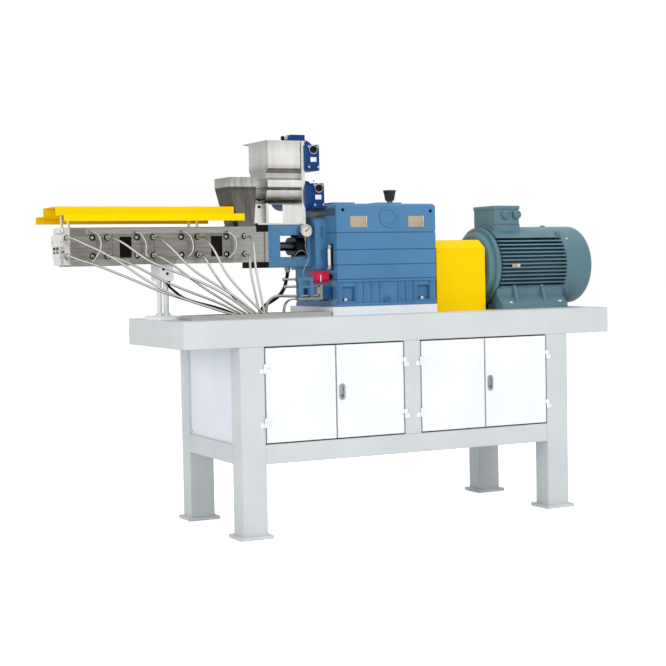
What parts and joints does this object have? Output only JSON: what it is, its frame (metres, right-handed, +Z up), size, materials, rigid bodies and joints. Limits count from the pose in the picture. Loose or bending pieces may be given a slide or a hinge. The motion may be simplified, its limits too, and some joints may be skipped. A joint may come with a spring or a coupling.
{
  "type": "twin screw extruder",
  "caption": "Bench-mounted twin screw extruder: motor, guard, gearbox and open lantern drive a jacketed barrel with a feeder, hopper, cover and braided hoses.",
  "frame": {"origin": "on the floor, in the middle of the machine's length and width", "axes": "+X from the die to the motor, +Y from the front to the back, +Z up"},
  "size_m": [2.127, 0.59, 1.4125],
  "materials": {
    "painted frame": "pale grey-green powder coat",
    "door white": "white powder coat",
    "latch steel": "satin chromed steel",
    "stainless": "brushed stainless steel",
    "machined steel": "machined steel",
    "heater black": "dark heat-proof finish",
    "gear blue": "mid blue enamel",
    "drive blue": "royal blue enamel",
    "motor grey": "grey-teal enamel",
    "safety yellow": "safety yellow enamel",
    "plinth white": "white paint",
    "filter red": "red enamel",
    "black plastic": "black moulded plastic",
    "seal black": "black oiled iron",
    "shaft steel": "oiled steel",
    "hose braid": "braided stainless steel",
    "rubber": "black rubber",
    "glass tube": "clear level tube with chromed ends"
  },
  "bodies": {
    "machine": {"deck": "painted frame", "legs": "painted frame", "lower_rails": "painted frame", "middle_posts": "painted frame", "cabinet_floor": "painted frame", "rear_panels": "door white", "side_panels": "door white", "door_hinges": "door white", "hose_tray": "stainless", "gearbox_plinth": "plinth white", "gearbox_housing": "gear blue", "breather": "black plastic", "lantern": "gear blue", "shaft_seal": "seal black", "pressure_gauge": "machined steel", "sight_glass": "glass tube", "lubrication_manifold": "gear blue", "oil_filter": "filter red", "lubrication_pipes": "machined steel", "barrel_body": "machined steel", "feed_module": "machined steel", "die_head": "machined steel", "barrel_fittings": "machined steel", "jackets": "stainless", "barrel_blocks": "heater black", "barrel_cover": "safety yellow", "cover_posts": "stainless", "barrel_support": "plinth white", "feed_hopper": "stainless", "feeder_stand": "stainless", "feeder_hopper": "stainless", "feeder_outlet": "stainless", "feeder_gearboxes": "drive blue", "feeder_motors": "drive blue", "coupling_guard": "safety yellow", "motor_frame": "motor grey", "motor_feet": "motor grey", "motor_fan_cover": "motor grey", "motor_terminal_box": "motor grey", "water_loops": "machined steel", "hose_a_lower": "hose braid", "hose_a_upper": "hose braid", "hose_b_lower": "hose braid", "hose_b_upper": "hose braid", "hose_c_lower": "hose braid", "hose_c_upper": "hose braid", "hose_d_lower": "hose braid", "hose_d_upper": "hose braid", "hose_e_lower": "hose braid", "hose_e_upper": "hose braid", "drain_hose": "rubber", "support_cable": "rubber"},
    "door_leaf_1": {"door_1": "door white"},
    "door_leaf_2": {"door_2": "door white", "latch_left": "latch steel"},
    "door_leaf_3": {"door_3": "door white"},
    "door_leaf_4": {"door_4": "door white", "latch_right": "latch steel"},
    "front_screw": {"screw_shaft_front": "shaft steel"},
    "rear_screw": {"screw_shaft_rear": "shaft steel"}
  },
  "joints": [
    {"name": "door_leaf_1_hinge", "type": "hinge", "parent": "machine", "child": "door_leaf_1", "pos_m": [-0.4105, -0.287, 0.4885], "axis": [0, 0, -1], "range_deg": [0, 110]},
    {"name": "door_leaf_2_hinge", "type": "hinge", "parent": "machine", "child": "door_leaf_2", "pos_m": [0.1355, -0.287, 0.4885], "axis": [0, 0, 1], "range_deg": [0, 95]},
    {"name": "door_leaf_3_hinge", "type": "hinge", "parent": "machine", "child": "door_leaf_3", "pos_m": [0.2005, -0.287, 0.4885], "axis": [0, 0, -1], "range_deg": [0, 95]},
    {"name": "door_leaf_4_hinge", "type": "hinge", "parent": "machine", "child": "door_leaf_4", "pos_m": [0.7445, -0.287, 0.4885], "axis": [0, 0, 1], "range_deg": [0, 110]},
    {"name": "front_screw_spin", "type": "hinge", "parent": "machine", "child": "front_screw", "pos_m": [-0.2915, -0.02, 1], "axis": [1, 0, 0], "continuous": true},
    {"name": "rear_screw_spin", "type": "hinge", "parent": "machine", "child": "rear_screw", "pos_m": [-0.2915, 0.02, 1], "axis": [1, 0, 0], "continuous": true}
  ],
  "couplings": [
    {"joint": "rear_screw_spin", "follows": "front_screw_spin", "ratio": 1}
  ]
}
